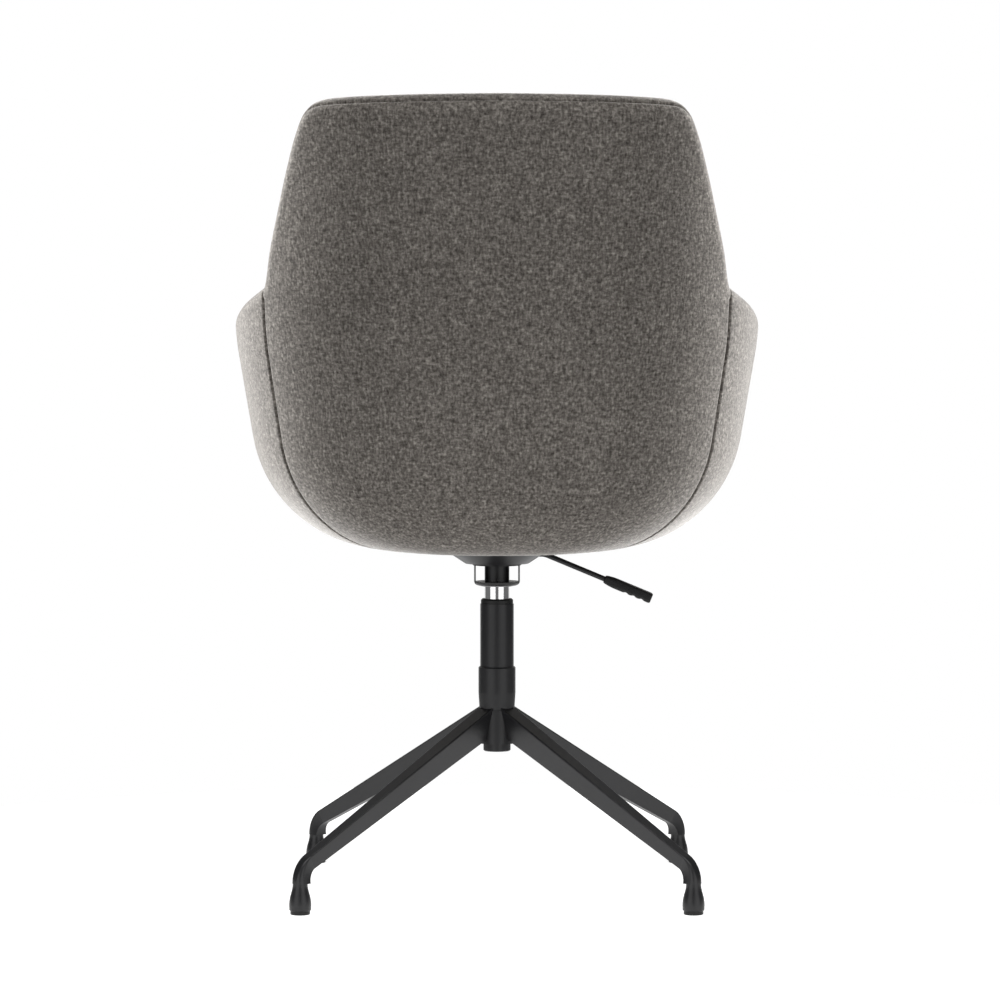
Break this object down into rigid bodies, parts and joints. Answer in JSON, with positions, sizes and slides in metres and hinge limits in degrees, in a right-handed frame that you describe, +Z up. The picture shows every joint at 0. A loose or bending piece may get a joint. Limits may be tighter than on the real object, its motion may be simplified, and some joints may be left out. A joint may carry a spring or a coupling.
{
  "type": "office_chair",
  "caption": "Upholstered tub swivel chair with gas lift on a fixed four-leg black metal base",
  "frame": {"origin": "On the floor under the swivel axis", "axes": "+Z up; +Y to the back of the chair; the sitter faces -Y with the lever at -X"},
  "size_m": [0.5998, 0.5851, 0.8889],
  "materials": {
    "black_powder_coat": "satin black powder coat",
    "black_plastic": "moulded black nylon",
    "chromed_steel": "polished hard chrome",
    "bright_steel": "zinc-plated steel",
    "black_paint": "semi-gloss black paint",
    "bumper_rubber": "black rubber",
    "shell_plywood": "moulded plywood, unseen",
    "melange_fabric": "felted wool-look weave, grey-brown melange"
  },
  "bodies": {
    "base": {"base_hub": "black_powder_coat", "leg_rear_left": "black_powder_coat", "leg_rear_right": "black_powder_coat", "leg_front_left": "black_powder_coat", "leg_front_right": "black_powder_coat", "glide_rear_left": "black_plastic", "glide_rear_right": "black_plastic", "glide_front_left": "black_plastic", "glide_front_right": "black_plastic", "glide_studs": "bright_steel", "column_tube": "black_powder_coat", "column_sleeve": "black_powder_coat", "guide_bush": "black_plastic", "thrust_washer_lower": "bright_steel", "bearing_balls": "bright_steel"},
    "rotor": {"piston_rod": "bright_steel", "piston_head": "black_plastic", "rod_clip": "bright_steel", "thrust_washer_upper": "bright_steel", "lift_bumper": "bumper_rubber"},
    "seat": {"gas_cylinder": "chromed_steel", "cylinder_end_cap": "black_plastic", "cylinder_head": "black_paint", "socket_cage": "black_paint", "mechanism_dish": "black_paint", "mechanism_plate": "black_paint", "lever_bracket": "black_paint", "lever_pivot_pin": "bright_steel", "seat_bolts": "bright_steel", "tee_nuts": "bright_steel", "seat_shell": "shell_plywood", "underside_board": "shell_plywood", "outer_back_pad": "melange_fabric", "outer_side_pad_left": "melange_fabric", "outer_side_pad_right": "melange_fabric", "outer_front_pad": "melange_fabric", "back_lining": "melange_fabric", "arm_lining_left": "melange_fabric", "arm_lining_right": "melange_fabric", "seat_foam_base": "melange_fabric", "seat_cushion": "melange_fabric"},
    "lever": {"lever_rod": "black_paint", "lever_grip": "black_plastic"},
    "release": {"release_pin": "bright_steel"}
  },
  "joints": [
    {"name": "seat_swivel", "type": "hinge", "parent": "base", "child": "rotor", "pos_m": [0, 0, 0.166], "axis": [0, 0, 1], "continuous": true},
    {"name": "seat_lift", "type": "slide", "parent": "rotor", "child": "seat", "axis": [0, 0, 1], "range_m": [0, 0.08]},
    {"name": "lever_pivot", "type": "hinge", "parent": "seat", "child": "lever", "pos_m": [-0.028, 0, 0.3793], "axis": [0, 1, 0], "range_deg": [0, 5], "stiffness_Nm_per_rad": 0.5, "springref_deg": -11.46},
    {"name": "release_slide", "type": "slide", "parent": "seat", "child": "release", "axis": [0, 0, -1], "range_m": [0, 0.003]}
  ],
  "couplings": [
    {"joint": "release_slide", "follows": "lever_pivot", "m_per_rad": 0.031}
  ]
}
